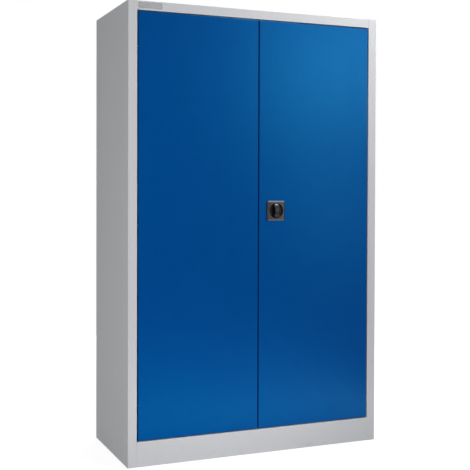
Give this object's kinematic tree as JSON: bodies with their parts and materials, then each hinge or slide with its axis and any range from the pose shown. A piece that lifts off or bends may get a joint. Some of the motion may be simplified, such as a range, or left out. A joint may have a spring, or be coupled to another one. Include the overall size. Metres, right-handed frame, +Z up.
{
  "type": "tool cabinet",
  "caption": "Tall double-door tool cabinet of folded sheet steel: inset doors on concealed gooseneck hinges, rotary handle with three-point lock, adjustable shelves.",
  "frame": {"origin": "centre of the whole part's box, on the floor plane under the carcass", "axes": "+Z up, +X to the right of a person who faces the doors, -Y out of the doors"},
  "size_m": [1.2, 0.5224, 1.95],
  "materials": {
    "grey_paint": "satin",
    "blue_paint": "satin",
    "zinc": "satin",
    "dark_chrome": "gloss",
    "chrome": "gloss",
    "black_plastic": "gloss",
    "rubber": "matte"
  },
  "bodies": {
    "carcass": {"left_side_panel": "grey_paint", "right_side_panel": "grey_paint", "top_panel": "grey_paint", "floor_panel": "grey_paint", "back_panel": "grey_paint", "plinth": "grey_paint", "floor_stiffener": "grey_paint", "upright_front_left": "grey_paint", "upright_front_right": "grey_paint", "upright_rear_left": "grey_paint", "upright_rear_right": "grey_paint", "shelf_1": "grey_paint", "shelf_2": "grey_paint", "shelf_3": "grey_paint", "shelf_4": "grey_paint", "shelf_stiffeners": "grey_paint", "shelf_clips": "zinc", "door_stops": "grey_paint", "stop_buffers": "rubber", "left_hinge_arms": "zinc", "right_hinge_arms": "zinc"},
    "left_door": {"left_door_panel": "blue_paint", "left_door_stiffener": "blue_paint", "left_hinge_brackets": "zinc", "left_hinge_pins": "zinc", "latch_keeper": "zinc"},
    "right_door": {"right_door_panel": "blue_paint", "right_door_stiffener": "blue_paint", "right_hinge_brackets": "zinc", "right_hinge_pins": "zinc", "escutcheon": "dark_chrome", "lock_plate": "zinc", "lock_plate_screws": "zinc", "rod_guides": "zinc"},
    "handle": {"knob": "black_plastic", "lock_barrel": "chrome", "spindle": "zinc", "crank_disc": "zinc", "crank_pins": "zinc", "latch_tongue": "zinc", "spindle_nut": "zinc"},
    "lock_core": {"lock_core": "chrome"},
    "upper_rod": {"upper_rod": "zinc"},
    "lower_rod": {"lower_rod": "zinc"}
  },
  "joints": [
    {"name": "left_door_hinge", "type": "hinge", "parent": "carcass", "child": "left_door", "pos_m": [-0.543, -0.22875, 1.0085], "axis": [0, 0, -1], "range_deg": [0, 110]},
    {"name": "right_door_hinge", "type": "hinge", "parent": "carcass", "child": "right_door", "pos_m": [0.543, -0.22875, 1.0085], "axis": [0, 0, 1], "range_deg": [0, 110]},
    {"name": "handle_turn", "type": "hinge", "parent": "right_door", "child": "handle", "pos_m": [0.082, -0.23875, 1.071], "axis": [0, -1, 0], "range_deg": [0, 90]},
    {"name": "lock_core_turn", "type": "hinge", "parent": "handle", "child": "lock_core", "pos_m": [0.082, -0.26125, 1.071], "axis": [0, -1, 0], "range_deg": [0, 90]},
    {"name": "upper_rod_slide", "type": "slide", "parent": "right_door", "child": "upper_rod", "axis": [0, 0, 1], "range_m": [0, 0.02546]},
    {"name": "lower_rod_slide", "type": "slide", "parent": "right_door", "child": "lower_rod", "axis": [0, 0, -1], "range_m": [0, 0.02546]}
  ],
  "couplings": [
    {"joint": "upper_rod_slide", "follows": "handle_turn", "m_per_rad": 0.016206},
    {"joint": "lower_rod_slide", "follows": "handle_turn", "m_per_rad": 0.016206}
  ]
}
